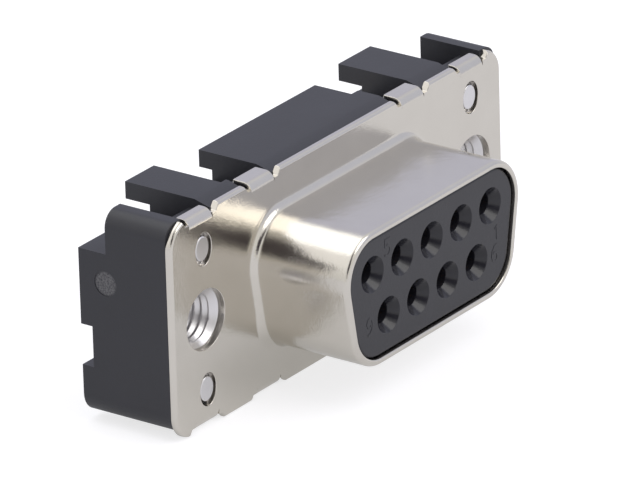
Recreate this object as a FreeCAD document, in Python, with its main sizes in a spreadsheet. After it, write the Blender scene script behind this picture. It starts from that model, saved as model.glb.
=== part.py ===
import FreeCAD, Part
import math
import os
import re

import Sketcher

# Nine-way socket connector of the D-sub family, straight board-mount type.
# Frame: +X to the right and +Z up when looking at the mating face, -Y towards
# the mating plug. The origin is on the front face of the flange, midway
# between the two screw holes. All lengths are in millimetres.

SIZES = {
    # drawn steel shell
    "flange_long": 30.81,
    "flange_tall": 12.55,
    "flange_round": 1.5,
    "rim_break": 0.15,
    "sheet": 0.4,
    "shroud_wide": 16.33,
    "shroud_tall": 7.9,
    "shroud_round": 2.6,
    "shroud_deep": 6.17,
    "side_lean": 10,
    "draw_round": 0.5,
    "lip_break": 0.15,
    # screw and peg holes in the flange
    "screw_gap": 24.99,
    "screw_hole": 3.5,
    "peg_rise": 4.06,
    "peg_hole": 1.85,
    # tabs folded back over the moulding
    "tab_inner": 7,
    "tab_outer": 12.65,
    "tab_wide": 2.1,
    "tab_bend": 0.7,
    "inner_top": 6.22,
    "inner_reach": 1.27,
    "outer_top": 6.12,
    "outer_reach": 0.9,
    "notch_low": 6.05,
    "notch_wide": 0.3,
    "notch_slant": 0.3,
    # front insulator
    "nose_gap": 0.12,
    "nose_back": 0.18,
    "nose_chamfer": 0.15,
    "collar_over": 0.95,
    "collar_back": 1.5,
    # contact pattern and sockets
    "pitch": 2.77,
    "row_gap": 2.84,
    "mouth_wide": 2.06,
    "mouth_deep": 0.55,
    "entry_wide": 1.2,
    "entry_wall": 1.1,
    "socket_wide": 1.6,
    "socket_bore": 1.02,
    "socket_deep": 5,
    "slot_wide": 0.2,
    "slot_long": 3.4,
    "strip": 0.3,
    "ear_wide": 2.2,
    "ear_long": 0.6,
    "tail_wide": 0.7,
    "tail_end": 8,
    "tail_tip": 0.2,
    "contact_gap": 0.05,
    # rear insulator
    "body_inset": 0.02,
    "body_back": 4.35,
    "body_low": 5.93,
    "top_round": 0.95,
    "low_round": 1.3,
    "tab_room": 0.25,
    "seat_gap": 0.05,
    "seat_back": 1.75,
    "slot_floor": 4.6,
    "top_chamfer": 0.95,
    "top_drop": 0.27,
    "plate_thick": 1,
    "plate_back_left": 5.95,
    "plate_back_middle": 5.2,
    "plate_back_right": 5.9,
    "trim_left": 0.45,
    "trim_left_front": 1.5,
    "trim_middle": 0.6,
    "trim_middle_front": 2.75,
    "foot_back": 6.17,
    "foot_top": 3.84,
    "foot_inner": 9.9,
    "groove_top": -0.58,
    "groove_low": -2.95,
    "groove_deep": 0.75,
    "mark_wide": 1.45,
    "mark_deep": 0.04,
    "mark_y": 4.44,
    "mark_z": 2.11,
    # threaded inserts
    "insert_gap": 0.05,
    "insert_plate": 0.9,
    "insert_wide": 4.3,
    "insert_tall": 9.7,
    "barrel_wide": 4.5,
    "barrel_short": 0.3,
    "thread_wide": 3,
    "thread_mouth": 3.36,
    "peg_wide": 1.3,
    "peg_recess": 0.03,
}

UPPER_ROW = 5
LOWER_ROW = 4

# Outlines shared by pieces that nest in each other, as formulas.
LIP = "(1 + sin(side_lean * 1 deg)) / cos(side_lean * 1 deg)"
NOSE_INSET = "(sheet + nose_gap)"
COLLAR_FRONT = "(sheet + nose_gap)"
SOCKET_FRONT = "(nose_back + entry_wall - shroud_deep)"
SLOT_HALF = "(tab_wide / 2 + tab_room)"
BODY_HALF_LONG = "(flange_long / 2 - body_inset)"
BODY_HALF_TALL = "(flange_tall / 2 - body_inset)"


def bound(formula):
    """The formula with each size name pointing at its cell of the sheet."""
    return re.sub(r"[a-z_]+", lambda m: "Sizes." + m[0] if m[0] in SIZES else m[0], formula)


def make_sheet(doc):
    sheet = doc.addObject("Spreadsheet::Sheet", "Sizes")
    for row, (name, value) in enumerate(SIZES.items(), start=1):
        sheet.set(f"A{row}", name)
        sheet.set(f"B{row}", str(value))
        sheet.setAlias(f"B{row}", name)
    doc.recompute()
    return sheet


def make_body(doc, label):
    body = doc.addObject("PartDesign::Body", label)
    body.Label = label
    return body


def origin_part(body, role):
    return next(f for f in body.Origin.OriginFeatures if f.Role == role)


def sketch_on(body, name, role, shift=("0", "0", "0")):
    """A sketch on one of the body's origin planes, moved in the sketch's own axes."""
    sketch = body.newObject("Sketcher::SketchObject", name)
    sketch.AttachmentSupport = [(origin_part(body, role), "")]
    sketch.MapMode = "FlatFace"
    for axis, formula in zip("xyz", shift):
        if formula != "0":
            sketch.setExpression(f"AttachmentOffset.Base.{axis}", bound(formula))
    body.Document.recompute()
    return sketch


def value_of(sketch, formula):
    return float(sketch.evalExpression(bound(formula)))


def tie(sketch, kind, places, formula):
    """A driving dimension whose value is a formula of the sheet."""
    constraint = Sketcher.Constraint(kind, *places, value_of(sketch, formula))
    index = sketch.addConstraint(constraint)
    sketch.setExpression(f"Constraints[{index}]", bound(formula))


def tie_place(sketch, geometry, end, across, up):
    """Hold a point at a place measured from the sketch's origin."""
    for kind, axis_line, formula in (("DistanceX", -2, across), ("DistanceY", -1, up)):
        value = value_of(sketch, formula)
        if abs(value) < 1e-9:
            sketch.addConstraint(Sketcher.Constraint("PointOnObject", geometry, end, axis_line))
        elif value > 0:
            tie(sketch, kind, (-1, 1, geometry, end), formula)
        else:
            tie(sketch, kind, (geometry, end, -1, 1), f"-({formula})")


def draw_outline(sketch, corners):
    """A closed outline of straight sides. A corner is (across, up) or (across, up, radius)."""
    flat = [FreeCAD.Vector(value_of(sketch, c[0]), value_of(sketch, c[1]), 0) for c in corners]
    radii = [value_of(sketch, c[2]) if len(c) == 3 else 0.0 for c in corners]
    count = len(corners)
    starts, ends = [], []
    for i, corner in enumerate(flat):
        before = (flat[i - 1] - corner).normalize()
        after = (flat[(i + 1) % count] - corner).normalize()
        setback = radii[i] / math.tan(before.getAngle(after) / 2) if radii[i] else 0.0
        ends.append(corner + before * setback)
        starts.append(corner + after * setback)
    lines = []
    for i in range(count):
        side = Part.LineSegment(starts[i], ends[(i + 1) % count])
        lines.append(sketch.addGeometry(side))
    for i, corner in enumerate(corners):
        arriving, leaving = lines[i - 1], lines[i]
        if len(corner) == 2:
            sketch.addConstraint(Sketcher.Constraint("Coincident", arriving, 2, leaving, 1))
            tie_place(sketch, leaving, 1, corner[0], corner[1])
            continue
        middle = flat[i] + ((ends[i] + starts[i]) / 2 - flat[i]).normalize() * (
            (ends[i] - flat[i]).Length / math.cos((ends[i] - flat[i]).getAngle(starts[i] - flat[i]) / 2)
            - radii[i]
        )
        arc = sketch.addGeometry(Part.Arc(ends[i], middle, starts[i]))
        turns_left = (ends[i] - flat[i]).cross(starts[i] - flat[i]).z < 0
        first, last = (1, 2) if turns_left else (2, 1)
        sketch.addConstraint(Sketcher.Constraint("Tangent", arriving, 2, arc, first))
        sketch.addConstraint(Sketcher.Constraint("Tangent", arc, last, leaving, 1))
        tie(sketch, "Radius", (arc,), corner[2])
        point = sketch.addGeometry(Part.Point(flat[i]), True)
        sketch.addConstraint(Sketcher.Constraint("PointOnObject", point, 1, arriving))
        sketch.addConstraint(Sketcher.Constraint("PointOnObject", point, 1, leaving))
        tie_place(sketch, point, 1, corner[0], corner[1])


def draw_circle(sketch, across, up, wide):
    centre = FreeCAD.Vector(value_of(sketch, across), value_of(sketch, up), 0)
    circle = Part.Circle(centre, FreeCAD.Vector(0, 0, 1), value_of(sketch, wide) / 2)
    index = sketch.addGeometry(circle)
    tie(sketch, "Diameter", (index,), wide)
    tie_place(sketch, index, 3, across, up)


def box_corners(left, right, low, high, radius=None):
    """Corners of an upright rectangle, all rounded alike when a radius is given."""
    corners = [(left, low), (right, low), (right, high), (left, high)]
    return [c + (radius,) if radius else c for c in corners]


def d_corners(inset):
    """Corners of the D outline, wide side up, with every side moved inwards by the inset."""
    tall = f"(shroud_tall / 2 - {inset})"
    radius = f"(shroud_round - {inset})"
    top = f"(shroud_wide / 2 - {inset} - {radius} + {radius} * {LIP})"
    low = f"({top} - 2 * {tall} * tan(side_lean * 1 deg))"
    return [
        (f"-{top}", tall, radius),
        (f"-{low}", f"-{tall}", radius),
        (low, f"-{tall}", radius),
        (top, tall, radius),
    ]


def extrude(kind, body, name, sketch, length, backwards=False, both=False):
    """A Pad or Pocket along the sketch's normal, or backwards from it, or half to each side."""
    before = body.Tip.Shape.Volume if body.Tip and not body.Tip.Shape.isNull() else 0.0
    feature = body.newObject(f"PartDesign::{kind}", name)
    feature.Profile = sketch
    feature.setExpression("Length", bound(length))
    feature.Reversed = backwards if kind == "Pad" else not backwards
    if both:
        feature.SideType = "Symmetric"
    body.Document.recompute()
    change = feature.Shape.Volume - before
    if (change > 0) != (kind == "Pad") or abs(change) < 1e-6:
        raise RuntimeError(f"{body.Label}.{name} changed the volume by {change:.4f}")
    return feature


def turned(kind, body, name, sketch):
    """A full turn of the sketch about its own horizontal axis."""
    feature = body.newObject(f"PartDesign::{kind}", name)
    feature.Profile = sketch
    feature.ReferenceAxis = (sketch, ["H_Axis"])
    feature.Angle = 360
    body.Document.recompute()
    return feature


def edges_where(feature, test):
    return [f"Edge{i}" for i, edge in enumerate(feature.Shape.Edges, start=1) if test(edge)]


def at_depth(edge, depth, inside=None):
    """Does the edge lie in the plane y = depth, and within the given half length of the origin?"""
    box = edge.BoundBox
    level = max(abs(box.YMin - depth), abs(box.YMax - depth)) < 1e-4
    return level and (inside is None or max(-box.XMin, box.XMax) < inside)


def dress_edges(kind, body, name, size, test):
    """A Fillet or Chamfer on the edges that pass the test."""
    base = body.Tip
    names = edges_where(base, test)
    feature = body.newObject(f"PartDesign::{kind}", name)
    feature.Base = (base, names)
    feature.setExpression("Radius" if kind == "Fillet" else "Size", bound(size))
    body.Document.recompute()
    return feature


def repeat(body, name, originals, steps):
    """Copies of features: each step is a mirror plane or (axis role, length, count)."""
    pattern = body.newObject("PartDesign::MultiTransform", name)
    pattern.Originals = originals
    transforms = []
    for i, step in enumerate(steps):
        if isinstance(step, str):
            one = body.newObject("PartDesign::Mirrored", f"{name}_mirror_{i}")
            one.MirrorPlane = (origin_part(body, step), [""])
        else:
            role, length, count = step
            one = body.newObject("PartDesign::LinearPattern", f"{name}_row_{i}")
            one.Direction = (origin_part(body, role), [""])
            one.setExpression("Length", bound(length))
            one.Occurrences = count
        transforms.append(one)
    pattern.Transformations = transforms
    body.Tip = pattern
    body.Document.recompute()
    return pattern


TABS = (("inner", "tab_inner", "inner_top", "inner_reach"), ("outer", "tab_outer", "outer_top", "outer_reach"))
FOUR_WAYS = ["YZ_Plane", "XY_Plane"]


def make_front_shell(doc):
    """Steel sheet drawn into a D shroud, with eight tabs folded over the moulding."""
    body = make_body(doc, "front_shell")
    plate = sketch_on(body, "flange_outline", "XZ_Plane")
    draw_outline(
        plate,
        box_corners(
            "-flange_long / 2", "flange_long / 2", "-flange_tall / 2", "flange_tall / 2", "flange_round"
        ),
    )
    extrude("Pad", body, "flange", plate, "sheet", backwards=True)
    dress_edges("Chamfer", body, "flange_rim", "rim_break", lambda e: at_depth(e, 0.0))

    wall = sketch_on(body, "shroud_outline", "XZ_Plane")
    draw_outline(wall, d_corners("0"))
    extrude("Pad", body, "shroud", wall, "shroud_deep")
    reach = SIZES["shroud_wide"] / 2 + 0.01
    dress_edges("Fillet", body, "draw_radius", "draw_round", lambda e: at_depth(e, 0.0, reach))
    front = -SIZES["shroud_deep"]
    dress_edges("Chamfer", body, "shroud_lip", "lip_break", lambda e: at_depth(e, front))

    inside = sketch_on(body, "shroud_inside", "XZ_Plane", ("0", "0", "shroud_deep"))
    draw_outline(inside, d_corners("sheet"))
    extrude("Pocket", body, "shroud_opening", inside, "shroud_deep + sheet", backwards=True)
    back = SIZES["sheet"]
    dress_edges(
        "Fillet", body, "draw_radius_inside", "draw_round + sheet", lambda e: at_depth(e, back, reach)
    )

    holes = sketch_on(body, "hole_places", "XZ_Plane")
    for side in ("-", ""):
        across = f"{side}screw_gap / 2"
        draw_circle(holes, across, "0", "screw_hole")
        draw_circle(holes, across, "peg_rise", "peg_hole")
        draw_circle(holes, across, "-peg_rise", "peg_hole")
    extrude("Pocket", body, "flange_holes", holes, "sheet", backwards=True)

    half = "tab_wide / 2"
    floor = f"({half} + notch_wide)"
    mouth = f"({floor} + notch_slant)"
    beyond = "flange_tall / 2 + sheet"
    for name, across, top, reach in TABS:
        foot = f"({top} - tab_bend)"
        relief = sketch_on(body, f"{name}_window_outline", "XZ_Plane", (across, "0", "0"))
        draw_outline(
            relief,
            [
                (f"-{half}", foot),
                (half, foot),
                (half, "notch_low"),
                (floor, "notch_low"),
                (mouth, "flange_tall / 2"),
                (mouth, beyond),
                (f"-{mouth}", beyond),
                (f"-{mouth}", "flange_tall / 2"),
                (f"-{floor}", "notch_low"),
                (f"-{half}", "notch_low"),
            ],
        )
        window = extrude("Pocket", body, f"{name}_window", relief, "sheet", backwards=True)
        repeat(body, f"{name}_windows", [window], FOUR_WAYS)

        fold = sketch_on(body, f"{name}_tab_profile", "YZ_Plane", ("0", "0", across))
        under = f"{top} - sheet"
        root = f"{foot} - sheet"
        draw_outline(
            fold,
            [
                ("0", root),
                ("0", top, "tab_bend"),
                (reach, top),
                (reach, under),
                ("sheet", under, "tab_bend - sheet"),
                ("sheet", root),
            ],
        )
        tab = extrude("Pad", body, f"{name}_tab", fold, "tab_wide", both=True)
        repeat(body, f"{name}_tabs", [tab], FOUR_WAYS)
    return body


def contact_rows():
    """Each contact's number and place: upper row first, counted from the right."""
    for i in range(UPPER_ROW):
        yield i + 1, f"({UPPER_ROW - 1} / 2 - {i}) * pitch", "row_gap / 2"
    for i in range(LOWER_ROW):
        yield UPPER_ROW + i + 1, f"({LOWER_ROW - 1} / 2 - {i}) * pitch", "-row_gap / 2"


def strip_corners(wide, gap, across="0", up="0"):
    """Corners of a slice of contact strip, lying flat, with a gap all round it."""
    half = f"({wide} / 2 + {gap})"
    thick = f"(strip / 2 + {gap})"
    return box_corners(f"{across} - {half}", f"{across} + {half}", f"{up} - {thick}", f"{up} + {thick}")


def make_front_insulator(doc):
    """Moulded nose that fills the shroud, with a countersunk stepped bore for each contact."""
    body = make_body(doc, "front_insulator")
    collar = sketch_on(body, "collar_outline", "XZ_Plane", ("0", "0", "-collar_back"))
    draw_outline(collar, d_corners(f"({NOSE_INSET} - collar_over)"))
    extrude("Pad", body, "collar", collar, f"collar_back - {COLLAR_FRONT}")
    nose = sketch_on(body, "nose_outline", "XZ_Plane", ("0", "0", "-collar_back"))
    draw_outline(nose, d_corners(NOSE_INSET))
    extrude("Pad", body, "nose", nose, "collar_back + shroud_deep - nose_back")
    front = SIZES["nose_back"] - SIZES["shroud_deep"]
    dress_edges("Chamfer", body, "nose_edge", "nose_chamfer", lambda e: at_depth(e, front))

    cone = f"({SOCKET_FRONT} - entry_wall)"
    for name, count, up in (("upper", UPPER_ROW, "row_gap / 2"), ("lower", LOWER_ROW, "-row_gap / 2")):
        shift = ("0", up, f"-({count} - 1) / 2 * pitch")
        bore = sketch_on(body, f"{name}_bore_profile", "YZ_Plane", shift)
        draw_outline(
            bore,
            [
                (cone, "0"),
                (cone, "mouth_wide / 2"),
                (f"{cone} + mouth_deep", "entry_wide / 2"),
                (SOCKET_FRONT, "entry_wide / 2"),
                (SOCKET_FRONT, "socket_wide / 2 + contact_gap"),
                ("collar_back", "socket_wide / 2 + contact_gap"),
                ("collar_back", "0"),
            ],
        )
        groove = turned("Groove", body, f"{name}_bore", bore)
        seat = sketch_on(body, f"{name}_ear_seat_outline", "XZ_Plane", (shift[2], up, "-collar_back"))
        draw_outline(seat, strip_corners("ear_wide", "contact_gap"))
        pocket = extrude("Pocket", body, f"{name}_ear_seat", seat, "ear_long")
        repeat(body, f"{name}_bores", [groove, pocket], [("X_Axis", f"({count} - 1) * pitch", count)])
    return body


def make_socket_contact(doc, number, across, up):
    """Rolled strip socket: slotted tube, two ears held between the insulators, and a flat board tail."""
    body = make_body(doc, f"socket_contact_{number}")
    body.setExpression("Placement.Base.x", bound(across))
    body.setExpression("Placement.Base.z", bound(up))
    profile = sketch_on(body, "tube_profile", "YZ_Plane")
    start = f"({SOCKET_FRONT} + contact_gap)"
    draw_outline(
        profile,
        [
            (start, "socket_bore / 2"),
            (start, "socket_wide / 2"),
            ("collar_back", "socket_wide / 2"),
            ("collar_back", "0"),
            (f"{start} + socket_deep", "0"),
            (f"{start} + socket_deep", "socket_bore / 2"),
        ],
    )
    turned("Revolution", body, "tube", profile)
    ears = sketch_on(body, "ear_outline", "XZ_Plane", ("0", "0", "-collar_back"))
    draw_outline(ears, strip_corners("ear_wide", "0"))
    extrude("Pad", body, "ears", ears, "ear_long")
    tail = sketch_on(body, "tail_outline", "XZ_Plane", ("0", "0", "-collar_back"))
    draw_outline(tail, strip_corners("tail_wide", "0"))
    extrude("Pad", body, "tail", tail, "tail_end - collar_back", backwards=True)
    end = value_of(tail, "tail_end")
    corner = value_of(tail, "strip")
    dress_edges(
        "Chamfer",
        body,
        "tail_point",
        "tail_tip",
        lambda e: at_depth(e, end) and abs(e.Length - corner) < 1e-4,
    )
    slot = sketch_on(body, "slot_outline", "XY_Plane")
    draw_outline(
        slot, box_corners("-slot_wide / 2", "slot_wide / 2", f"{start} - slot_wide", f"{start} + slot_long")
    )
    extrude("Pocket", body, "spring_slot", slot, "socket_wide + contact_gap", both=True)
    return body


def make_rear_insulator(doc):
    """Moulded body behind the flange: tab slots, overhanging plates and board feet."""
    body = make_body(doc, "rear_insulator")
    block = sketch_on(body, "block_outline", "XZ_Plane", ("0", "0", "-sheet"))
    draw_outline(
        block,
        [
            (f"-{BODY_HALF_LONG}", "-body_low", "low_round"),
            (BODY_HALF_LONG, "-body_low", "low_round"),
            (BODY_HALF_LONG, BODY_HALF_TALL, "top_round"),
            (f"-{BODY_HALF_LONG}", BODY_HALF_TALL, "top_round"),
        ],
    )
    extrude("Pad", body, "block", block, "body_back - sheet", backwards=True)

    foot = sketch_on(body, "foot_outline", "XZ_Plane", ("0", "0", "-body_back"))
    draw_outline(
        foot,
        [
            ("foot_inner", "-body_low"),
            (BODY_HALF_LONG, "-body_low", "low_round"),
            (BODY_HALF_LONG, "foot_top"),
            ("foot_inner", "foot_top"),
        ],
    )
    pad = extrude("Pad", body, "foot", foot, "foot_back - body_back", backwards=True)
    repeat(body, "feet", [pad], ["YZ_Plane"])

    left_end = f"-tab_inner - {SLOT_HALF}"
    middle_end = f"tab_inner - {SLOT_HALF}"
    for name, left, right, back in (
        ("left", f"-tab_outer + {SLOT_HALF}", f"{left_end} - trim_left", "plate_back_left"),
        ("middle", f"-{middle_end}", f"{middle_end} - trim_middle", "plate_back_middle"),
        ("right", f"tab_inner + {SLOT_HALF}", f"tab_outer - {SLOT_HALF}", "plate_back_right"),
    ):
        level = ("0", "0", f"{BODY_HALF_TALL} - plate_thick")
        plan = sketch_on(body, f"{name}_plate_outline", "XY_Plane", level)
        draw_outline(plan, box_corners(left, right, "body_back", back))
        extrude("Pad", body, f"{name}_plate", plan, "plate_thick")
    for name, end, wide, front in (
        ("left", left_end, "trim_left", "trim_left_front"),
        ("middle", middle_end, "trim_middle", "trim_middle_front"),
    ):
        plan = sketch_on(body, f"{name}_trim_outline", "XY_Plane", ("0", "0", BODY_HALF_TALL))
        draw_outline(plan, box_corners(f"{end} - {wide}", end, front, "body_back"))
        extrude("Pocket", body, f"{name}_trim", plan, f"{BODY_HALF_TALL} - slot_floor", backwards=True)

    ease = "(tab_bend - sheet + seat_gap)"
    for name, across, top, _ in TABS:
        slots = sketch_on(body, f"{name}_slot_profile", "YZ_Plane", ("0", "0", across))
        seat_top = f"({top} - sheet - seat_gap)"
        draw_outline(
            slots,
            [
                ("sheet - seat_gap", f"{seat_top} - 2 * {ease}"),
                ("sheet", f"{seat_top} - 2 * {ease}"),
                ("sheet", seat_top, ease),
                ("seat_back", seat_top),
                ("seat_back", "slot_floor"),
                ("foot_back", "slot_floor"),
                ("foot_back", "flange_tall / 2 + sheet"),
                ("sheet - seat_gap", "flange_tall / 2 + sheet"),
            ],
        )
        cut = extrude("Pocket", body, f"{name}_slot", slots, "tab_wide + 2 * tab_room", both=True)
        repeat(body, f"{name}_slots", [cut], FOUR_WAYS)

    wedge = sketch_on(body, "top_chamfer_profile", "YZ_Plane")
    draw_outline(
        wedge,
        [
            ("sheet", f"{BODY_HALF_TALL} - top_drop"),
            ("sheet + top_chamfer", BODY_HALF_TALL),
            ("sheet", BODY_HALF_TALL),
        ],
    )
    extrude("Pocket", body, "top_edge", wedge, "2 * tab_outer", both=True)

    pocket = sketch_on(body, "collar_pocket_outline", "XZ_Plane", ("0", "0", "-sheet"))
    draw_outline(pocket, d_corners(f"({NOSE_INSET} - collar_over - contact_gap)"))
    extrude("Pocket", body, "collar_pocket", pocket, "collar_back - sheet", backwards=True)

    seats = sketch_on(body, "insert_pocket_outline", "XZ_Plane", ("0", "0", "-sheet"))
    draw_outline(
        seats,
        box_corners(
            "screw_gap / 2 - insert_wide / 2 - insert_gap",
            "screw_gap / 2 + insert_wide / 2 + insert_gap",
            "-insert_tall / 2 - insert_gap",
            "insert_tall / 2 + insert_gap",
            "insert_wide / 4 + insert_gap",
        ),
    )
    seat = extrude("Pocket", body, "insert_pocket", seats, "insert_plate", backwards=True)
    bores = sketch_on(body, "barrel_outline", "XZ_Plane", ("0", "0", "-sheet"))
    draw_circle(bores, "screw_gap / 2", "0", "barrel_wide + 2 * insert_gap")
    bore = extrude("Pocket", body, "barrel_hole", bores, "foot_back", backwards=True)
    repeat(body, "insert_seats", [seat, bore], ["YZ_Plane"])

    tails = sketch_on(body, "tail_slot_places", "XZ_Plane", ("0", "0", "-collar_back"))
    for _, across, up in contact_rows():
        draw_outline(tails, strip_corners("tail_wide", "contact_gap", across, up))
    extrude("Pocket", body, "tail_slots", tails, "body_back", backwards=True)

    channel = sketch_on(body, "foot_groove_outline", "YZ_Plane")
    draw_outline(
        channel, box_corners("foot_back - groove_deep", "foot_back + groove_deep", "groove_low", "groove_top")
    )
    extrude("Pocket", body, "foot_groove", channel, "flange_long", both=True)

    mark = sketch_on(body, "mould_mark_outline", "YZ_Plane", ("0", "0", f"-{BODY_HALF_LONG}"))
    draw_circle(mark, "mark_y", "mark_z", "mark_wide")
    extrude("Pocket", body, "mould_mark", mark, "mark_deep")
    return body


def make_threaded_insert(doc, side, sign):
    """Die-cast insert: plate with two locating pegs and a barrel for the jackscrew."""
    body = make_body(doc, f"threaded_insert_{side}")
    body.setExpression("Placement.Base.x", bound(f"{sign}screw_gap / 2"))
    plate = sketch_on(body, "plate_outline", "XZ_Plane", ("0", "0", "-sheet"))
    draw_outline(
        plate,
        box_corners(
            "-insert_wide / 2", "insert_wide / 2", "-insert_tall / 2", "insert_tall / 2", "insert_wide / 4"
        ),
    )
    extrude("Pad", body, "plate", plate, "insert_plate", backwards=True)
    barrel = sketch_on(body, "barrel_outline", "XZ_Plane", ("0", "0", "-sheet"))
    draw_circle(barrel, "0", "0", "barrel_wide")
    extrude("Pad", body, "barrel", barrel, "foot_back - barrel_short - sheet", backwards=True)
    pegs = sketch_on(body, "peg_places", "XZ_Plane", ("0", "0", "-sheet"))
    draw_circle(pegs, "0", "peg_rise", "peg_wide")
    draw_circle(pegs, "0", "-peg_rise", "peg_wide")
    extrude("Pad", body, "pegs", pegs, "sheet - peg_recess")
    bore = sketch_on(body, "thread_profile", "YZ_Plane")
    draw_outline(
        bore,
        [
            ("sheet", "0"),
            ("sheet", "thread_mouth / 2"),
            ("sheet + thread_mouth / 2 - thread_wide / 2", "thread_wide / 2"),
            ("foot_back", "thread_wide / 2"),
            ("foot_back", "0"),
        ],
    )
    turned("Groove", body, "thread_bore", bore)
    return body


def check(doc, bodies):
    for item in doc.Objects:
        if "Invalid" in item.State or "Error" in item.State:
            raise RuntimeError(f"{item.Label} failed: {item.State}")
    for body in bodies:
        shape = body.Shape
        if shape.isNull() or not shape.isValid() or len(shape.Solids) != 1:
            raise RuntimeError(f"{body.Label} is not one valid solid")


def main():
    doc = FreeCAD.newDocument("SocketConnector")
    make_sheet(doc)
    bodies = [make_front_shell(doc), make_front_insulator(doc), make_rear_insulator(doc)]
    bodies += [make_socket_contact(doc, *place) for place in contact_rows()]
    bodies += [make_threaded_insert(doc, side, sign) for side, sign in (("left", "-"), ("right", ""))]
    doc.recompute()
    check(doc, bodies)
    os.makedirs("parts", exist_ok=True)
    for body in bodies:
        body.Shape.exportStep(os.path.join("parts", body.Label + ".step"))
        box = body.Shape.BoundBox
        print(
            f"{body.Label}: {body.Shape.Volume:.2f} mm3, x {box.XMin:.2f}..{box.XMax:.2f},"
            f" y {box.YMin:.2f}..{box.YMax:.2f}, z {box.ZMin:.2f}..{box.ZMax:.2f}"
        )


main()
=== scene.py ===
import logging
import math
from collections.abc import Iterable, Mapping, Sequence
from dataclasses import dataclass, field, replace
from enum import Enum

import bmesh
import bpy
from mathutils import Matrix, Vector
from mathutils.geometry import tessellate_polygon


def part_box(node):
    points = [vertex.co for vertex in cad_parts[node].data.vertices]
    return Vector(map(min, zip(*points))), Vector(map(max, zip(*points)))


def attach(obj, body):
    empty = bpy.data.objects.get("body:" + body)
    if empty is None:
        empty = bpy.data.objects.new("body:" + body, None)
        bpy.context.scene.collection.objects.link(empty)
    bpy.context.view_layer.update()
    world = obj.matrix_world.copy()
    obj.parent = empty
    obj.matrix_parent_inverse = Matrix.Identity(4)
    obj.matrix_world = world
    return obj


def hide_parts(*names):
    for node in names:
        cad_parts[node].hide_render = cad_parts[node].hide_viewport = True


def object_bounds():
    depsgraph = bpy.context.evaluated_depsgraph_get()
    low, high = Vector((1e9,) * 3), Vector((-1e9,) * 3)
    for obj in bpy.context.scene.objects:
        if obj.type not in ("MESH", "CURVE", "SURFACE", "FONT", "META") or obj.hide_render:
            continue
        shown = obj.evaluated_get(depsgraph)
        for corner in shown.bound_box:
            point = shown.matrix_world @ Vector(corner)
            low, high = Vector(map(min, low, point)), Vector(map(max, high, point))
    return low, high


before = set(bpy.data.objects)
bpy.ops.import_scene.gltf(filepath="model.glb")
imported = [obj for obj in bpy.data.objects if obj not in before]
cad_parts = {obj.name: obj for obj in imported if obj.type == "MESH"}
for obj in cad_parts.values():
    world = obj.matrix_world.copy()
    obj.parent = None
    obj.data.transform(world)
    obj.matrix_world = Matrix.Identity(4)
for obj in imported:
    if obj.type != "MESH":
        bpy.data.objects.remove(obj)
CAD_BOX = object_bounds()

# Looks of a nine-way socket connector. Lengths are in millimetres until a mesh
# is handed to the scene, which is in metres. -Y points out of the mating face,
# +X to the right of it and +Z up.

LOG = logging.getLogger("socket_connector")
MM = 0.001
BODY = "root"
LEVEL = "level_face"  # mark on the faces of flat regions
MERGED = 1e-7  # metres: points that are nearer than this become one
STRAIGHT = 1e-3  # sine of a turn that counts as none
TIGHTEST = 0.005  # millimetres: radius that a rounded corner keeps

Ring = list[int]
Flat = tuple[float, float]
Colour = tuple[float, float, float]
Direction = tuple[float, float, float]


def node_corners(node: str) -> tuple[Vector, Vector]:
    """Lowest and highest corner of a node of the frame, in millimetres.

    Args:
        node: name of the node.

    Returns:
        The two corners.
    """
    low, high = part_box(node)
    return low / MM, high / MM


@dataclass(frozen=True)
class Interface:
    """Sizes that several pieces share, in millimetres."""

    sheet: float = 0.4
    shroud_wide: float = 16.33
    shroud_tall: float = 7.9
    shroud_round: float = 2.6
    side_lean: float = 10.0
    draw_round: float = 0.5
    peg_rise: float = 4.06
    pitch: float = 2.77
    row_gap: float = 2.84
    nose_gap: float = 0.12
    upper_row: int = 5
    lower_row: int = 4

    def contact_places(self) -> list[Flat]:
        """Centres of the contacts as (x, z), upper row first, from the right."""
        upper = [((self.upper_row - 1) / 2 - i, 0.5) for i in range(self.upper_row)]
        lower = [((self.lower_row - 1) / 2 - i, -0.5) for i in range(self.lower_row)]
        return [(across * self.pitch, up * self.row_gap) for across, up in upper + lower]

    def screw_offset(self) -> float:
        """Distance of each screw hole from the middle plane."""
        low, high = node_corners("threaded_insert_right")
        return (low.x + high.x) / 2


class Turn(Enum):
    """How a corner of an outline is made."""

    ARC = "rounded by an arc"
    PASS = "a single point, on a straight side or along a curve"


@dataclass(frozen=True)
class Corner:
    """One corner of a flat outline in the X, Z plane.

    The rim is the share of an inset that the edges beside the corner take; an
    edge takes the smaller share of its two ends.
    """

    across: float
    up: float
    radius: float = 0.0
    tab: bool = False
    rim: float = 1.0

    @property
    def turn(self) -> Turn:
        """Whether the corner is an arc or a single point."""
        return Turn.ARC if self.radius > 0 else Turn.PASS

    def mirrored(self, across: bool, up: bool) -> "Corner":
        """The same corner on the other side of one or both axes."""
        return replace(self, across=-self.across if across else self.across, up=-self.up if up else self.up)


def moved_corner(first: Vector, second: Vector, near: float, far: float) -> Vector:
    """How far a corner moves when its two edges move along their own normals.

    Args:
        first: unit normal of the first edge.
        second: unit normal of the second edge.
        near: distance that the first edge moves.
        far: distance that the second edge moves.

    Returns:
        The corner's move.
    """
    spread = first.x * second.y - first.y * second.x
    if abs(spread) < STRAIGHT:
        return first * (near + far) / 2
    across = second.y * near - first.y * far
    up = first.x * far - second.x * near
    return Vector((across, up)) / spread


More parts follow.
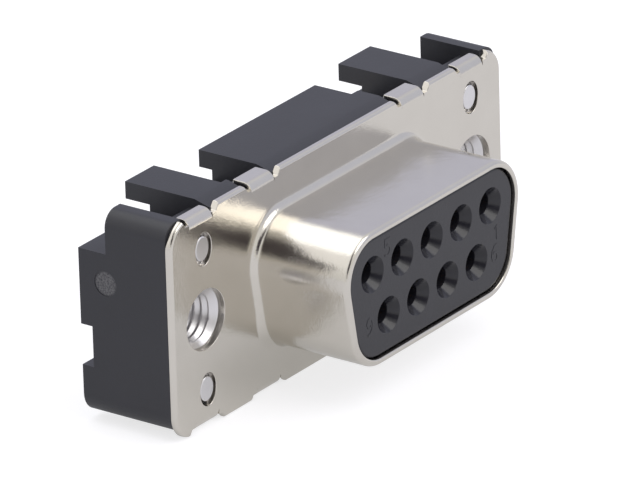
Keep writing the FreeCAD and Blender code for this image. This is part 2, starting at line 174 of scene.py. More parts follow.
@dataclass
class Outline:
    """A closed flat outline, anticlockwise seen with X to the right and Z up."""

    corners: list[Corner]
    arc_steps: int

    def points(self, inset: float) -> list[Flat]:
        """Points of the outline moved inwards; every inset gives as many points.

        Args:
            inset: distance inwards, negative for outwards.

        Returns:
            The points as (x, z).
        """
        flat = [Vector((c.across, c.up)) for c in self.corners]
        count = len(flat)
        result: list[Flat] = []
        for i, corner in enumerate(self.corners):
            arriving = (flat[i] - flat[i - 1]).normalized()
            leaving = (flat[(i + 1) % count] - flat[i]).normalized()
            inward = Vector((-arriving.y, arriving.x))
            near = inset * min(self.corners[i - 1].rim, corner.rim)
            far = inset * min(self.corners[(i + 1) % count].rim, corner.rim)
            place = flat[i] + moved_corner(inward, Vector((-leaving.y, leaving.x)), near, far)
            if corner.turn is Turn.PASS:
                result.append((place.x, place.y))
                continue
            turning = math.atan2(arriving.x * leaving.y - arriving.y * leaving.x, arriving.dot(leaving))
            side = 1 if turning > 0 else -1
            radius = max(corner.radius - side * (near + far) / 2, TIGHTEST)
            setback = radius * math.tan(abs(turning) / 2)
            centre = place - arriving * setback + inward * radius * side
            start = place - arriving * setback - centre
            for k in range(self.arc_steps + 1):
                angle = turning * k / self.arc_steps
                spoke = Matrix.Rotation(angle, 2) @ start
                result.append((centre.x + spoke.x, centre.y + spoke.y))
        return result

    def tags(self) -> list[bool]:
        """For every point, whether it belongs to a tab.

        Returns:
            A mark for each of the outline's points, in their order.
        """
        result: list[bool] = []
        for corner in self.corners:
            result += [corner.tab] * (self.arc_steps + 1 if corner.turn is Turn.ARC else 1)
        return result


def d_outline(shared: Interface, side_steps: int, arc_steps: int) -> Outline:
    """The D outline of the shroud, wide side up, with points along its straight sides.

    Args:
        shared: sizes of the interface.
        side_steps: number of spans on each straight side.
        arc_steps: number of spans on each corner.

    Returns:
        The outline at no inset.
    """
    lean = math.radians(shared.side_lean)
    tall = shared.shroud_tall / 2
    reach = shared.shroud_round * ((1 + math.sin(lean)) / math.cos(lean) - 1)
    top = shared.shroud_wide / 2 + reach
    low = top - 2 * tall * math.tan(lean)
    ends = [Vector(end) for end in ((low, -tall), (top, tall), (-top, tall), (-low, -tall))]
    turns = [math.pi / 2 + lean if end.y > 0 else math.pi / 2 - lean for end in ends]
    setbacks = [shared.shroud_round * math.tan(turn / 2) for turn in turns]
    corners: list[Corner] = []
    for i, end in enumerate(ends):
        corners.append(Corner(end.x, end.y, shared.shroud_round))
        onward = ends[(i + 1) % 4] - end
        straight = onward.length - setbacks[i] - setbacks[(i + 1) % 4]
        for k in range(1, side_steps):
            point = end + onward.normalized() * (setbacks[i] + straight * k / side_steps)
            corners.append(Corner(point.x, point.y))
    return Outline(corners, arc_steps)


def circle_points(across: float, up: float, radius: float, steps: int, taller: float = 1.0) -> list[Flat]:
    """Points of a circle, or of one drawn taller, as (x, z).

    Args:
        across: centre, x.
        up: centre, z.
        radius: radius of the circle.
        steps: number of points.
        taller: height as a share of the width.

    Returns:
        The points, anticlockwise.
    """
    angles = [2 * math.pi * k / steps for k in range(steps)]
    return [(across + radius * math.cos(a), up + radius * taller * math.sin(a)) for a in angles]


def quarter_turn(steps: int) -> list[Flat]:
    """Sine and cosine at equal steps from 0 to 90 degrees, both ends included."""
    angles = [math.pi / 2 * k / steps for k in range(steps + 1)]
    return [(math.sin(a), math.cos(a)) for a in angles]


class Skin:
    """Vertices and faces of one piece, gathered in millimetres."""

    def __init__(self) -> None:
        """Start with nothing."""
        self.points: list[Vector] = []
        self.faces: list[tuple[int, ...]] = []
        self.level: set[int] = set()

    def ring(self, flat: Iterable[Flat], depth: float) -> Ring:
        """Add points at one depth.

        Args:
            flat: the points as (x, z).
            depth: their y.

        Returns:
            Their numbers.
        """
        return self.place(Vector((x, depth, z)) for x, z in flat)

    def place(self, points: Iterable[Vector]) -> Ring:
        """Add points and return their numbers."""
        start = len(self.points)
        self.points += list(points)
        return list(range(start, len(self.points)))

    def bridge(self, first: Sequence[int], second: Sequence[int]) -> None:
        """Join two closed rings that have as many points with a band of faces.

        Args:
            first: one ring.
            second: the other, with its points in the same order.
        """
        count = len(first)
        for i in range(count):
            j = (i + 1) % count
            self.faces.append((first[i], first[j], second[j], second[i]))

    def stack(self, rings: Sequence[Sequence[int]]) -> None:
        """Join each ring to the next."""
        for first, second in zip(rings, rings[1:]):
            self.bridge(first, second)

    def drawn(self, outline: Outline, levels: Iterable[Flat]) -> list[Ring]:
        """Add a wall that follows an outline.

        Args:
            outline: the outline.
            levels: inset and depth of each of its rings.

        Returns:
            The rings.
        """
        rings = [self.ring(outline.points(inset), depth) for inset, depth in levels]
        self.stack(rings)
        return rings

    def turned(self, centre: Flat, levels: Iterable[Flat], steps: int, taller: float = 1.0) -> list[Ring]:
        """Add a round wall.

        Args:
            centre: its axis, as (x, z).
            levels: radius and depth of each of its rings.
            steps: points in a ring.
            taller: height as a share of the width.

        Returns:
            The rings.
        """
        rings = [self.ring(circle_points(*centre, radius, steps, taller), depth) for radius, depth in levels]
        self.stack(rings)
        return rings

    def fill(self, boundaries: Sequence[Sequence[int]]) -> None:
        """Close a flat region; the first boundary is its outside and the others are holes.

        Args:
            boundaries: rings of points at one depth.
        """
        loops = [[Vector((self.points[i].x, self.points[i].z, 0)) for i in loop] for loop in boundaries]
        numbers = [i for loop in boundaries for i in loop]
        for triangle in tessellate_polygon(loops):
            self.level.add(len(self.faces))
            self.faces.append(tuple(numbers[i] for i in triangle))

    def ladder(self, rail: Sequence[int]) -> None:
        """Close a strip whose points run up one side and down the other.

        Args:
            rail: the points.
        """
        count = len(rail)
        for i in range(count // 2 - 1):
            a, b = rail[i], rail[i + 1]
            c, d = rail[count - 2 - i], rail[count - 1 - i]
            self.faces.append((a, b, c, d))

    def build(self, name: str, sharp_degrees: float) -> bpy.types.Object:
        """Make the scene's object, with its faces turned outwards and flat faces shaded flat.

        Args:
            name: name of the object.
            sharp_degrees: edges that turn by more stay sharp.

        Returns:
            The object, in metres.
        """
        mesh = bpy.data.meshes.new(name)
        mesh.from_pydata([p * MM for p in self.points], [], self.faces)
        level = mesh.attributes.new(LEVEL, "BOOLEAN", "FACE")
        for number in self.level:
            level.data[number].value = True
        work = bmesh.new()
        work.from_mesh(mesh)
        bmesh.ops.remove_doubles(work, verts=work.verts, dist=MERGED)
        bmesh.ops.recalc_face_normals(work, faces=work.faces)
        work.to_mesh(mesh)
        work.free()
        piece = bpy.data.objects.new(name, mesh)
        bpy.context.scene.collection.objects.link(piece)
        smooth_shading(piece, sharp_degrees)
        return piece


def apply_modifiers(piece: bpy.types.Object) -> None:
    """Put the result of a piece's modifiers in its own mesh.

    Args:
        piece: the object, whose modifiers are then gone.
    """
    bpy.context.view_layer.update()
    result = piece.evaluated_get(bpy.context.evaluated_depsgraph_get())
    shaped = bpy.data.meshes.new_from_object(result)
    piece.modifiers.clear()
    piece.data = shaped


def smooth_fans(vertex: bmesh.types.BMVert, least_dot: float) -> Iterable[list[bmesh.types.BMFace]]:
    """Groups of the faces round a vertex that are joined by edges that don't turn sharply.

    Args:
        vertex: the vertex.
        least_dot: smallest dot product of two normals across a smooth edge.

    Returns:
        The groups, one after another.
    """
    remaining = list(vertex.link_faces)
    while remaining:
        fan = [remaining.pop()]
        for face in fan:
            for edge in (e for e in face.edges if vertex in e.verts):
                for other in edge.link_faces:
                    if other in remaining and face.normal.dot(other.normal) > least_dot:
                        remaining.remove(other)
                        fan.append(other)
        yield fan


def smooth_shading(piece: bpy.types.Object, sharp_degrees: float) -> None:
    """Shade a piece smoothly by the larger faces at each corner, with its level faces kept flat.

    Args:
        piece: the object, whose mesh may say which faces are level.
        sharp_degrees: edges that turn by more stay sharp.
    """
    mesh = piece.data
    mesh.polygons.foreach_set("use_smooth", [True] * len(mesh.polygons))
    work = bmesh.new()
    work.from_mesh(mesh)
    level = work.faces.layers.bool.get(LEVEL)
    directions: dict[tuple[int, int], Vector] = {}
    for vertex in work.verts:
        for fan in smooth_fans(vertex, math.cos(math.radians(sharp_degrees))):
            leading = [face for face in fan if level and face[level]] or fan
            direction = sum((face.normal * face.calc_area() for face in leading), Vector()).normalized()
            for face in fan:
                directions[face.index, vertex.index] = direction
    work.free()
    normals = [Vector((0, 0, 1))] * len(mesh.loops)
    for face in mesh.polygons:
        for corner in face.loop_indices:
            normals[corner] = directions[face.index, mesh.loops[corner].vertex_index]
    mesh.normals_split_custom_set(normals)


def settle(piece: bpy.types.Object, node: str, material: bpy.types.Material) -> None:
    """Give a piece its material and its place in the frame.

    Args:
        piece: the object.
        node: the node that it stands for.
        material: its finish.
    """
    piece.data.materials.clear()
    piece.data.materials.append(material)
    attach(piece, BODY)
    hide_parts(node)
    LOG.info("%s: %d faces", piece.name, len(piece.data.polygons))


# Finishes


Tree = bpy.types.NodeTree
Node = bpy.types.Node
Socket = bpy.types.NodeSocket
Feed = Socket | float | Sequence[float]

# Colour sockets of the Mix node, by number, because others have the same names.
MIX_FIRST, MIX_SECOND, MIX_RESULT = 6, 7, 2


class Blend(Enum):
    """How a value goes from one end of a range to the other."""

    EVEN = "LINEAR"
    SOFT = "SMOOTHSTEP"


def feed(tree: Tree, node: Node, feeds: Mapping[str | int, Feed]) -> None:
    """Link sockets to a node's inputs, or set constants on them.

    Args:
        tree: where the node stands.
        node: the node.
        feeds: what each input takes, by the input's name or number.
    """
    for label, value in feeds.items():
        socket = node.inputs[label]
        if isinstance(value, Socket):
            tree.links.new(value, socket)
        elif socket.type == "RGBA":
            socket.default_value = (*value, 1.0)
        else:
            socket.default_value = value


def add_node(
    tree: Tree, kind: str, feeds: Mapping[str | int, Feed] | None = None, **options: object
) -> Node:
    """Add a node with its options and inputs.

    Args:
        tree: where it goes.
        kind: its type, without the words in front that all types share.
        feeds: what each input takes, by the input's name or number.
        options: the node's own settings.

    Returns:
        The node.
    """
    node = tree.nodes.new(f"ShaderNode{kind}")
    for option, value in options.items():
        setattr(node, option, value)
    feed(tree, node, feeds or {})
    return node


def calculate(tree: Tree, operation: str, *feeds: Feed) -> Socket:
    """Result of one calculation with its numbers in order."""
    return add_node(tree, "Math", dict(enumerate(feeds)), operation=operation).outputs["Value"]


def rescaled(
    tree: Tree,
    value: Socket,
    start: Flat = (0.0, 1.0),
    end: Flat = (0.0, 1.0),
    blend: Blend = Blend.EVEN,
) -> Socket:
    """Carry a value from one range to another and keep it inside the new one.

    Args:
        tree: nodes to add to.
        value: the value.
        start: the two ends of its range.
        end: what they become.
        blend: how it goes between them.

    Returns:
        The new value.
    """
    limits = {"From Min": start[0], "From Max": start[1], "To Min": end[0], "To Max": end[1]}
    node = add_node(tree, "MapRange", {"Value": value, **limits}, interpolation_type=blend.value)
    return node.outputs["Result"]


def mixed(tree: Tree, share: Socket, first: Feed, second: Feed) -> Socket:
    """Mix two colours by a share that varies over the surface.

    Args:
        tree: nodes to add to.
        share: 0 gives the first colour and 1 the second.
        first: a colour or a socket.
        second: a colour or a socket.

    Returns:
        The mixed colour.
    """
    feeds = {"Factor": share, MIX_FIRST: first, MIX_SECOND: second}
    return add_node(tree, "Mix", feeds, data_type="RGBA").outputs[MIX_RESULT]


@dataclass
class Effects:
    """Node groups that the finishes share, each built once.

    Wear and the painted highlight on edges start and are full at two cosines of how
    far the surface turns. A mark starts and is full at two shares of its radius,
    and its speckle at two heights of the noise.
    """

    worn_and_highlit_turns: Flat = (0.97, 0.80)
    turn_samples: int = 3
    mark_edge: Flat = (1.05, 0.8)
    mark_speckle: Flat = (0.28, 0.6)
    grain: Tree = field(init=False)
    specks: Tree = field(init=False)
    wear_and_highlight: Tree = field(init=False)
    spot: Tree = field(init=False)

    def __post_init__(self) -> None:
        """Build the groups."""
        self.grain = self._grain()
        self.specks = self._specks()
        self.wear_and_highlight = self._wear_and_highlight()
        self.spot = self._spot()

    @staticmethod
    def _group(
        name: str, inputs: dict[str, float], *outputs: str
    ) -> tuple[Tree, bpy.types.NodeOutputs, Node]:
        """An empty group with its sockets, which all carry numbers.

        Args:
            name: name of the group.
            inputs: name and usual value of each number that goes in.
            outputs: name of each number that comes out.

        Returns:
            The group, what its inputs give inside it, and its output node.
        """
        tree = bpy.data.node_groups.new(name, "ShaderNodeTree")
        for label, value in inputs.items():
            socket = tree.interface.new_socket(label, in_out="INPUT", socket_type="NodeSocketFloat")
            socket.default_value = value
        for label in outputs:
            tree.interface.new_socket(label, in_out="OUTPUT", socket_type="NodeSocketFloat")
        return tree, tree.nodes.new("NodeGroupInput").outputs, tree.nodes.new("NodeGroupOutput")

    @staticmethod
    def _noise(tree: Tree, scale: Feed, detail: float = 2.0, rough: float = 0.5) -> Socket:
        """Soft noise fixed to the piece, from 0 to 1.

        Args:
            tree: nodes to add to.
            scale: spots in a metre.
            detail: how many finer layers it has.
            rough: how strong they are.

        Returns:
            The noise.
        """
        place = add_node(tree, "TexCoord").outputs["Object"]
        feeds = {"Vector": place, "Scale": scale, "Detail": detail, "Roughness": rough}
        return add_node(tree, "TexNoise", feeds).outputs["Fac"]

    def _grain(self) -> Tree:
        """Fine and coarse unevenness of a surface.

        Returns:
            A group with outputs Height, which is fine, and Shade, which is coarse, both from 0 to 1.
        """
        tree, given, out = self._group("surface_grain", {"Fine": 12000.0, "Coarse": 900.0}, "Height", "Shade")
        height = self._noise(tree, given["Fine"], detail=3.0, rough=0.6)
        shade = self._noise(tree, given["Coarse"], detail=4.0, rough=0.6)
        feed(tree, out, {"Height": height, "Shade": shade})
        return tree

    def _specks(self) -> Tree:
        """Scattered small spots, such as dust.

        Returns:
            A group with the output Mask, 1 on a spot.
        """
        inputs = {"Scale": 1500.0, "Size": 0.1, "Share": 0.3}
        tree, given, out = self._group("dust_specks", inputs, "Mask")
        place = add_node(tree, "TexCoord").outputs["Object"]
        cells = add_node(tree, "TexVoronoi", {"Vector": place, "Scale": given["Scale"]}, feature="F1")
        near = calculate(tree, "LESS_THAN", cells.outputs["Distance"], given["Size"])
        drawn = add_node(tree, "SeparateColor", {"Color": cells.outputs["Color"]}).outputs["Red"]
        chosen = calculate(tree, "LESS_THAN", drawn, given["Share"])
        feed(tree, out, {"Mask": calculate(tree, "MULTIPLY", near, chosen)})
        return tree

    def _wear_and_highlight(self) -> Tree:
        """Edges that are painted brighter, partly as wear and partly as a painted highlight, from how sharply
        the surface turns nearby.

        Returns:
            A group with the output Mask, up to 1 on the sharpest edges.
        """
        tree, given, out = self._group("edge_wear_and_highlight", {"Reach": 0.00006, "Breakup": 3000.0}, "Mask")
        shape = add_node(tree, "NewGeometry").outputs["Normal"]
        rounded = add_node(tree, "Bevel", {"Radius": given["Reach"]}, samples=self.turn_samples)
        normals = {0: shape, 1: rounded.outputs["Normal"]}
        turned = add_node(tree, "VectorMath", normals, operation="DOT_PRODUCT").outputs["Value"]
        edge = rescaled(tree, turned, start=self.worn_and_highlit_turns, blend=Blend.SOFT)
        broken = calculate(tree, "MULTIPLY", edge, self._noise(tree, given["Breakup"]))
        feed(tree, out, {"Mask": broken})
        return tree

    def _spot(self) -> Tree:
        """A speckled round mark, as a mould's ejector pin leaves.

        Returns:
            A group with the output Mask, up to 1 on the mark.
        """
        inputs = {"X": 0.0, "Y": 0.0, "Z": 0.0, "Radius": 0.0007, "Fine": 9000.0}
        tree, given, out = self._group("pin_mark", inputs, "Mask")
        place = add_node(tree, "TexCoord").outputs["Object"]
        middle = add_node(tree, "CombineXYZ", {axis: given[axis] for axis in "XYZ"}).outputs["Vector"]
        away = add_node(tree, "VectorMath", {0: place, 1: middle}, operation="DISTANCE").outputs["Value"]
        radii = calculate(tree, "DIVIDE", away, given["Radius"])
        within = rescaled(tree, radii, start=self.mark_edge, blend=Blend.SOFT)
        speckled = rescaled(tree, self._noise(tree, given["Fine"]), start=self.mark_speckle)
        feed(tree, out, {"Mask": calculate(tree, "MULTIPLY", within, speckled)})
        return tree


@dataclass(frozen=True)
class Finish:
    """A surface finish that is grained, worn and given a painted highlight at its edges, and a little dusty.

    The bump, the wave and the reach of the edge wear and painted highlight are in
    millimetres, as is the mark: where a pin left it and its radius. The scales are spots in a metre.
    """

    name: str
    dark: Colour
    light: Colour
    # colour of the edges, partly wear and partly a painted highlight
    worn_and_highlit: Colour
    dust: Colour
    metallic: float
    smooth: float
    rough: float
    bump: float
    fine: float
    coarse: float
    wave: float = 0.0
    wear_and_highlight_reach: float = 0.06
    speck_scale: float = 1500.0
    speck_size: float = 0.08
    speck_share: float = 0.2
    mark: tuple[float, float, float, float] | None = None

    def material(self, effects: Effects) -> bpy.types.Material:
        """Build the material.

        Args:
            effects: the shared node groups.

        Returns:
            The material.
        """
        material = bpy.data.materials.new(self.name)
        material.use_nodes = True
        tree = material.node_tree
        grain = self._placed(tree, effects.grain, Fine=self.fine, Coarse=self.coarse)
        wear_and_highlight = self._placed(tree, effects.wear_and_highlight, Reach=self.wear_and_highlight_reach * MM)
        specks = self._placed(
            tree, effects.specks, Scale=self.speck_scale, Size=self.speck_size, Share=self.speck_share
        )
        colour = mixed(tree, grain["Shade"], self.dark, self.light)
        # painted highlight on sharp edges, together with their wear
        colour = mixed(tree, wear_and_highlight["Mask"], colour, self.worn_and_highlit)
        colour = mixed(tree, specks["Mask"], colour, self.dust)
        if self.mark:
            x, y, z, radius = (value * MM for value in self.mark)
            spot = self._placed(tree, effects.spot, X=x, Y=y, Z=z, Radius=radius)
            colour = mixed(tree, spot["Mask"], colour, self.dust)
        wave = add_node(tree, "Bump", {"Distance": self.wave * MM, "Height": grain["Shade"]})
        relief = {"Distance": self.bump * MM, "Height": grain["Height"], "Normal": wave.outputs["Normal"]}
        shading = {
            "Base Color": colour,
            "Metallic": self.metallic,
            "Roughness": rescaled(tree, grain["Shade"], end=(self.smooth, self.rough)),
            "Normal": add_node(tree, "Bump", relief).outputs["Normal"],
        }
        feed(tree, tree.nodes["Principled BSDF"], shading)
        return material

    @staticmethod
    def _placed(tree: Tree, group: Tree, **values: float) -> bpy.types.NodeOutputs:
        """What a shared group gives in a material, with the material's own values."""
        return add_node(tree, "Group", values, node_tree=group).outputs


NICKEL_SHEET = Finish(
    name="nickel_sheet",
    dark=(0.64, 0.61, 0.555),
    light=(0.71, 0.68, 0.622),
    worn_and_highlit=(0.80, 0.78, 0.74),
    dust=(0.50, 0.47, 0.42),
    metallic=1.0,
    smooth=0.15,
    rough=0.22,
    bump=0.006,
    fine=9000.0,
    coarse=450.0,
    wave=0.03,
    speck_scale=420.0,
    speck_size=0.03,
    speck_share=0.12,
)
NICKEL_CASTING = Finish(
    name="nickel_casting",
    dark=(0.70, 0.69, 0.70),
    light=(0.80, 0.79, 0.80),
    worn_and_highlit=(0.82, 0.80, 0.78),
    dust=(0.42, 0.40, 0.37),
    metallic=1.0,
    smooth=0.26,
    rough=0.4,
    bump=0.004,
    fine=6000.0,
    coarse=1200.0,
    speck_scale=900.0,
    speck_size=0.06,
    speck_share=0.2,
)
BLACK_MOULDING = Finish(
    name="black_moulding",
    dark=(0.022, 0.023, 0.030),
    light=(0.035, 0.036, 0.046),
    worn_and_highlit=(0.060, 0.062, 0.070),
    dust=(0.16, 0.16, 0.17),
    metallic=0.0,
    smooth=0.36,
    rough=0.52,
    bump=0.006,
    fine=9000.0,
    coarse=500.0,
    speck_scale=620.0,
    speck_size=0.035,
    speck_share=0.3,
    mark=(-15.385, 4.44, 2.11, 0.725),
)
SATIN_MOULDING = replace(
    BLACK_MOULDING,
    name="satin_moulding",
    dark=(0.018, 0.018, 0.024),
    light=(0.030, 0.030, 0.040),
    smooth=0.12,
    rough=0.22,
    mark=None,
)
GOLD_FLASH = Finish(
    name="contact_plate",
    dark=(0.78, 0.55, 0.22),
    light=(0.92, 0.70, 0.34),
    worn_and_highlit=(0.95, 0.80, 0.50),
    dust=(0.60, 0.45, 0.22),
    metallic=1.0,
    smooth=0.2,
    rough=0.32,
    bump=0.002,
    fine=6000.0,
    coarse=800.0,
)


# Pieces


@dataclass(frozen=True)
class Tab:
    """A tab folded back over the moulding, on the right half of the top edge."""

    centre: float
    top: float
    reach: float


@dataclass
class FoldedShell:
    """Nickel-plated sheet drawn into a D shroud, with eight tabs folded back."""

    shared: Interface
    finish: bpy.types.Material
    flange_round: float = 1.5
    rim_inset: float = 0.17
    rim_deep: float = 0.24
    cut_rim: float = 0.22
    slit_rim: float = 0.04
    back_break: float = 0.04
    screw_hole: float = 3.44
    peg_hole: float = 1.44
    peg_hole_taller: float = 1.32
    hole_roll: float = 0.03
    tabs: tuple[Tab, ...] = (Tab(12.65, 6.12, 0.9), Tab(7.0, 6.22, 1.27))
    tab_half: float = 1.05
    tab_bend: float = 0.55
    slit: float = 0.015
    notch_low: float = 5.86
    notch_wide: float = 0.3
    notch_slant: float = 0.3
    notch_round: float = 0.05
    tip_round: float = 0.1
    lip_round: float = 0.26
    inner_lip: float = 0.08
    corner_steps: int = 14
    tip_steps: int = 5
    bend_steps: int = 8
    roll_steps: int = 5
    draw_steps: int = 10
    wall_steps: int = 4
    lip_steps: int = 6
    inner_lip_steps: int = 3
    hole_steps: int = 56
    hole_roll_steps: int = 3
    shroud_side_steps: int = 10
    shroud_corner_steps: int = 16
    sharp_degrees: float = 60.0
    half_long: float = field(init=False)
    half_tall: float = field(init=False)
    deep: float = field(init=False)

    def __post_init__(self) -> None:
        """Take the overall sizes from the node that the shell stands for."""
        low, high = node_corners("front_shell")
        self.half_long, self.half_tall, self.deep = high.x, high.z, -low.y

    def build(self) -> bpy.types.Object:
        """Build the shell and put it in its place.

        Returns:
            The object.
        """
        skin = Skin()
        outline = self._flat_outline()
        rings = self._rim_rings(skin, outline)
        holes = self._holes(skin)
        shroud = self._shroud(skin)
        for side in (0, -1):
            self._panels(skin, outline, rings[side], [shroud[side], *(walls[side] for walls in holes)])
        piece = skin.build("drawn_shell", self.sharp_degrees)
        settle(piece, "front_shell", self.finish)
        return piece

    def _flat_outline(self) -> Outline:
        """Outline of the sheet before its tabs are folded.

        Returns:
            The outline, anticlockwise from the middle of the right end.
        """
        quarter = self._flange_corner() + self._top_edge()
        mirrored_left = [c.mirrored(True, False) for c in reversed(quarter)]
        upper = quarter + mirrored_left
        lower = [c.mirrored(False, True) for c in reversed(upper)]
        return Outline(upper + lower, self.tip_steps)

    def _flange_corner(self) -> list[Corner]:
        """Points of the flange's round corner, up to the notch beside the outer tab.

        Returns:
            The points, from the right end.
        """
        centre = Vector((self.half_long - self.flange_round, self.half_tall - self.flange_round))
        root, mouth = self._notch(self.tabs[0])
        low, high = Vector((root, self.notch_low)), Vector((mouth, self.half_tall))
        slant = (high - low).normalized()
        middle = (centre - low).dot(slant)
        off = (centre - low - slant * middle).length
        meeting = low + slant * (middle + math.sqrt(self.flange_round**2 - off**2)) - centre
        last = math.atan2(meeting.y, meeting.x)
        corners = []
        for k in range(self.corner_steps + 1):
            angle = last * k / self.corner_steps
            spoke = self.flange_round * Vector((math.cos(angle), math.sin(angle)))
            corners.append(Corner(centre.x + spoke.x, centre.y + spoke.y))
        return corners

    def _notch(self, tab: Tab) -> Flat:
        """Where the notch beside a tab has its root and its mouth, as distances from the middle plane."""
        root = tab.centre + self.tab_half + self.notch_wide
        return root, root + self.notch_slant

    def _top_edge(self) -> list[Corner]:
        """Points of the right half of the top edge, with its notches and tabs, from the right.

        Returns:
            The corners, without the one that the flange's round corner ends on.
        """
        corners: list[Corner] = []
        for tab in self.tabs:
            side = self._notch_side(tab) + self._tab_side(tab)
            other_side = [replace(corner, across=2 * tab.centre - corner.across) for corner in reversed(side)]
            meets_flange_corner = tab is self.tabs[0]
            corners += side[1:] if meets_flange_corner else side
            corners += other_side
        return corners

    def _notch_side(self, tab: Tab) -> list[Corner]:
        """Corners from the flange's top edge down to the foot of a tab's right side.

        Args:
            tab: the tab.

        Returns:
            The corners.
        """
        root, mouth = self._notch(tab)
        beside = tab.centre + self.tab_half + self.slit
        foot = tab.top - self.tab_bend
        return [
            Corner(mouth, self.half_tall, self.tip_round / 2),
            Corner(root, self.notch_low, self.notch_round, rim=self.cut_rim),
            Corner(beside, self.notch_low, rim=self.slit_rim),
            Corner(beside, foot, rim=self.slit_rim),
            Corner(tab.centre + self.tab_half, foot, rim=self.slit_rim),
        ]

    def _tab_side(self, tab: Tab) -> list[Corner]:
        """Corners up a tab's right side in the unfolded sheet, to its end.

        Args:
            tab: the tab.

        Returns:
            The corners.
        """
        foot = tab.top - self.tab_bend
        across = tab.centre + self.tab_half
        bend = self.tab_bend * math.pi / 2
        rungs = [foot + bend * k / self.bend_steps for k in range(1, self.bend_steps + 1)]
        corners = [Corner(across, up, tab=True, rim=self.cut_rim) for up in rungs]
        end = foot + bend + tab.reach - self.tab_bend
        return corners + [Corner(across, end, self.tip_round, tab=True, rim=self.cut_rim)]

    def _folded(self, point: Vector) -> Vector:
        """Where a point of an unfolded tab is once the tab is folded.

        Args:
            point: the point before folding.

        Returns:
            The point after folding.
        """
        tab = min(self.tabs, key=lambda one: abs(abs(point.x) - one.centre))
        foot = tab.top - self.tab_bend
        beyond = abs(point.z) - foot
        if beyond <= 0:
            return point
        arm = self.tab_bend - point.y
        angle = min(beyond / self.tab_bend, math.pi / 2)
        straight = beyond - angle * self.tab_bend
        depth = self.tab_bend - arm * math.cos(angle) + straight
        height = foot + arm * math.sin(angle)
        return Vector((point.x, depth, math.copysign(height, point.z)))

    def _rim_rings(self, skin: Skin, outline: Outline) -> list[Ring]:
        """Rings over the sheet's cut edge, from its front face to its back face.

        Args:
            skin: the mesh so far.
            outline: the unfolded outline.

        Returns:
            The rings.
        """
        rolled = quarter_turn(self.roll_steps)
        levels = [(self.rim_inset * (1 - sine), self.rim_deep * (1 - cosine)) for sine, cosine in rolled]
        levels.append((0.0, self.shared.sheet - self.back_break))
        levels.append((self.back_break, self.shared.sheet))
        tags = outline.tags()
        rings = []
        for inset, depth in levels:
            points = [Vector((x, depth, z)) for x, z in outline.points(inset)]
            rings.append(skin.place(self._folded(p) if in_tab else p for p, in_tab in zip(points, tags)))
        skin.stack(rings)
        return rings

    def _panels(
        self, skin: Skin, outline: Outline, edge: Sequence[int], holes: Sequence[Sequence[int]]
    ) -> None:
        """Close one face of the sheet: its flat part and its eight tabs.

        Args:
            skin: the mesh so far.
            outline: the unfolded outline.
            edge: ring of points round the face.
            holes: rings round the holes in its flat part.
        """
        tags = outline.tags()
        flat = [number for number, in_tab in zip(edge, tags) if not in_tab]
        skin.fill([flat, *holes])
        count = len(edge)
        for i in range(count):
            if not tags[i] and tags[(i + 1) % count]:
                run = [edge[i]]
                step = (i + 1) % count
                while tags[step]:
                    run.append(edge[step])
                    step = (step + 1) % count
                run.append(edge[step])
                skin.ladder(run)

    def _holes(self, skin: Skin) -> list[list[Ring]]:
        """Walls of the screw and peg holes.

        Args:
            skin: the mesh so far.

        Returns:
            For each hole, its rings from the front face to the back face.
        """
        rise = self.shared.peg_rise
        screw, peg = (self.screw_hole / 2, 1.0), (self.peg_hole / 2, self.peg_hole_taller)
        walls = []
        for across in (-self.shared.screw_offset(), self.shared.screw_offset()):
            for up, (radius, taller) in ((0.0, screw), (rise, peg), (-rise, peg)):
                levels = [
                    (radius + self.hole_roll * (1 - sine), self.hole_roll * (1 - cosine))
                    for sine, cosine in quarter_turn(self.hole_roll_steps)
                ]
                levels.append((radius, self.shared.sheet - self.back_break))
                levels.append((radius + self.back_break, self.shared.sheet))
                walls.append(skin.turned((across, up), levels, self.hole_steps, taller))
        return walls

    def _shroud(self, skin: Skin) -> list[Ring]:
        """The drawn wall, from the flange's front face round the lip to its back face.

        Args:
            skin: the mesh so far.

        Returns:
            Its rings, the first in the front face and the last in the back face.
        """
        outline = d_outline(self.shared, self.shroud_side_steps, self.shroud_corner_steps)
        draw, sheet = self.shared.draw_round, self.shared.sheet
        drawn = quarter_turn(self.draw_steps)
        levels = [(draw * (sine - 1), draw * (cosine - 1)) for sine, cosine in drawn]
        front = -self.deep
        straight = front + self.lip_round
        steps = self.wall_steps
        levels += [(0.0, -draw + (straight + draw) * k / steps) for k in range(1, steps + 1)]
        for sine, cosine in quarter_turn(self.lip_steps)[1:]:
            levels.append((self.lip_round * (1 - cosine), straight - self.lip_round * sine))
        for sine, cosine in quarter_turn(self.inner_lip_steps):
            levels.append((sheet - self.inner_lip * (1 - sine), front + self.inner_lip * (1 - cosine)))
        levels.append((sheet, front / 2))
        outer = draw + sheet
        levels += [(outer * sine - draw, outer * cosine - draw) for sine, cosine in reversed(drawn)]
        return skin.drawn(outline, levels)


@dataclass(frozen=True)
class Numeral:
    """A contact number that one stroke of the pen draws, in shares of its height."""

    stroke: tuple[Flat, ...]
    across: float
    up: float


HOOK = (
    (0.20, 0.45), (0.00, 0.40), (-0.20, 0.15), (-0.25, -0.12), (-0.18, -0.36), (0.00, -0.47),
    (0.18, -0.38), (0.24, -0.18), (0.14, 0.02), (-0.04, 0.06), (-0.11, -0.04),
)
FIVE = (
    (0.24, 0.44), (-0.18, 0.44), (-0.22, 0.06), (0.02, 0.12), (0.20, 0.0), (0.25, -0.18),
    (0.16, -0.38), (-0.04, -0.47), (-0.24, -0.38),
)
ONE = ((-0.12, 0.2), (0.06, 0.35), (0.08, 0.0), (0.08, -0.42))
NUMERALS = (
    Numeral(ONE, across=6.05, up=-0.3),
    Numeral(FIVE, across=-4.12, up=2.5),
    Numeral(HOOK, across=5.9, up=-1.5),
    Numeral(tuple((-x, -z) for x, z in HOOK), across=-5.9, up=-1.5),
)

# Radius and depth over the eased edge of an entry, in shares of its rounding.
MOUTH_EDGE = ((1.0, 0.0), (0.3, 0.3), (-0.6, 1.4))


